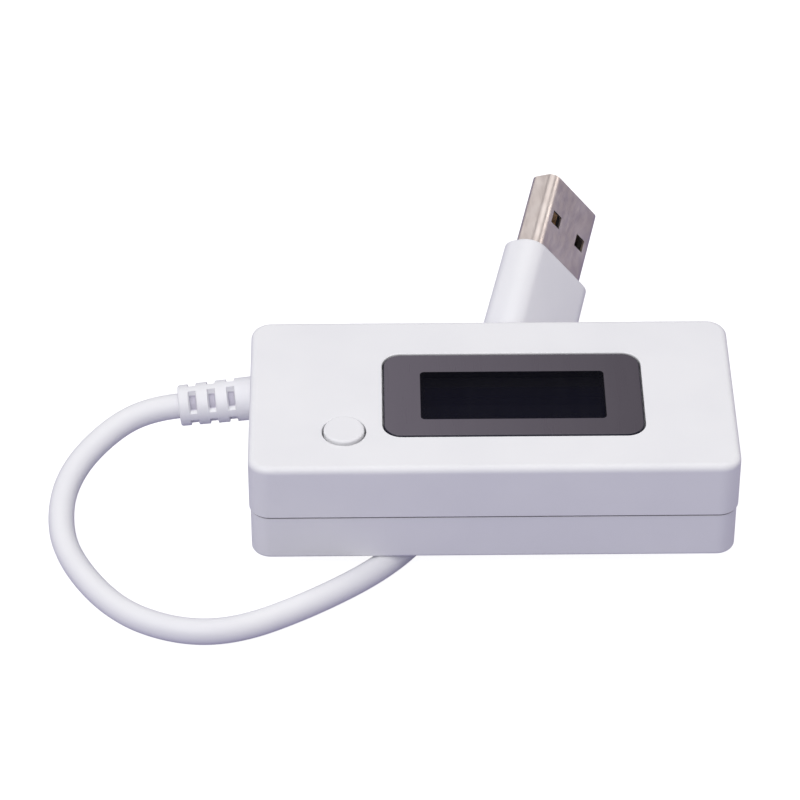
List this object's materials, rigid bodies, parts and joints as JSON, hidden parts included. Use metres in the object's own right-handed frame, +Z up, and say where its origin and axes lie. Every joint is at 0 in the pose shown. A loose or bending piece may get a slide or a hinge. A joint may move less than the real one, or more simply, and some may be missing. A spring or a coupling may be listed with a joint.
{
  "type": "usb power meter",
  "caption": "In-line USB power meter: white box with a smoked display window and one push button, a USB-A socket in its end and a short captive lead with a USB-A plug.",
  "frame": {"origin": "centre of the box (its 66 x 32 x 15.8 mm body)", "axes": "+X along the box towards the socket end, +Y away from the button side, +Z up through the display"},
  "size_m": [0.0939, 0.0796, 0.0224],
  "materials": {
    "white_abs": "fine satin moulded white ABS",
    "white_pvc": "smooth soft white PVC",
    "smoked_window": "smoked polycarbonate, printed grey behind round a clear view",
    "lcd_glass": "polished, nearly black with a blue cast",
    "black_tape": "black adhesive tape",
    "black_foam": "soft black foam and elastomer",
    "black_plastic": "moulded black plastic and epoxy",
    "light_guide": "frosted acrylic",
    "board_green": "green solder mask",
    "ceramic": "fired ceramic",
    "nickel": "satin nickel plate",
    "steel": "spring steel",
    "tin": "tinned",
    "gold": "gold flash",
    "wire_red": "thin insulation",
    "wire_white": "thin insulation",
    "wire_green": "thin insulation",
    "wire_black": "thin insulation"
  },
  "bodies": {
    "meter": {"backlight_plate": "light_guide", "capacitors": "ceramic", "chip_leads": "tin", "chip_resistors": "black_plastic", "circuit_board": "board_green", "controller_chip": "black_plastic", "crystal": "nickel", "display_window": "smoked_window", "jacket_end": "white_pvc", "lcd_connector_strip": "black_foam", "lcd_front_glass": "lcd_glass", "lcd_gasket": "black_foam", "lcd_holder": "black_plastic", "lcd_rear_glass": "lcd_glass", "lead_cable": "white_pvc", "lead_wire_black": "wire_black", "lead_wire_green": "wire_green", "lead_wire_red": "wire_red", "lead_wire_white": "wire_white", "lower_shell": "white_abs", "memory_chip": "black_plastic", "plug_contacts": "gold", "plug_insulator": "black_plastic", "plug_overmold": "white_pvc", "plug_shell": "nickel", "shunt_resistor": "black_plastic", "socket_contacts": "gold", "socket_insulator": "black_plastic", "socket_shell": "nickel", "solder_joints": "tin", "strain_relief": "white_pvc", "switch_base": "black_plastic", "switch_cover": "nickel", "switch_dome": "steel", "upper_shell": "white_abs", "voltage_regulator": "black_plastic", "window_tape": "black_tape"},
    "button": {"button_cap": "white_abs"},
    "plunger": {"switch_plunger": "black_plastic"}
  },
  "joints": [
    {"name": "button_press", "type": "slide", "parent": "meter", "child": "button", "axis": [0, 0, -1], "range_m": [0, 0.0003], "stiffness_N_per_m": 1500, "springref_m": -0.0002},
    {"name": "plunger_press", "type": "slide", "parent": "meter", "child": "plunger", "axis": [0, 0, -1], "range_m": [0, 0.0003], "deforming": ["switch_dome"]}
  ],
  "couplings": [
    {"joint": "plunger_press", "follows": "button_press", "ratio": 1}
  ]
}
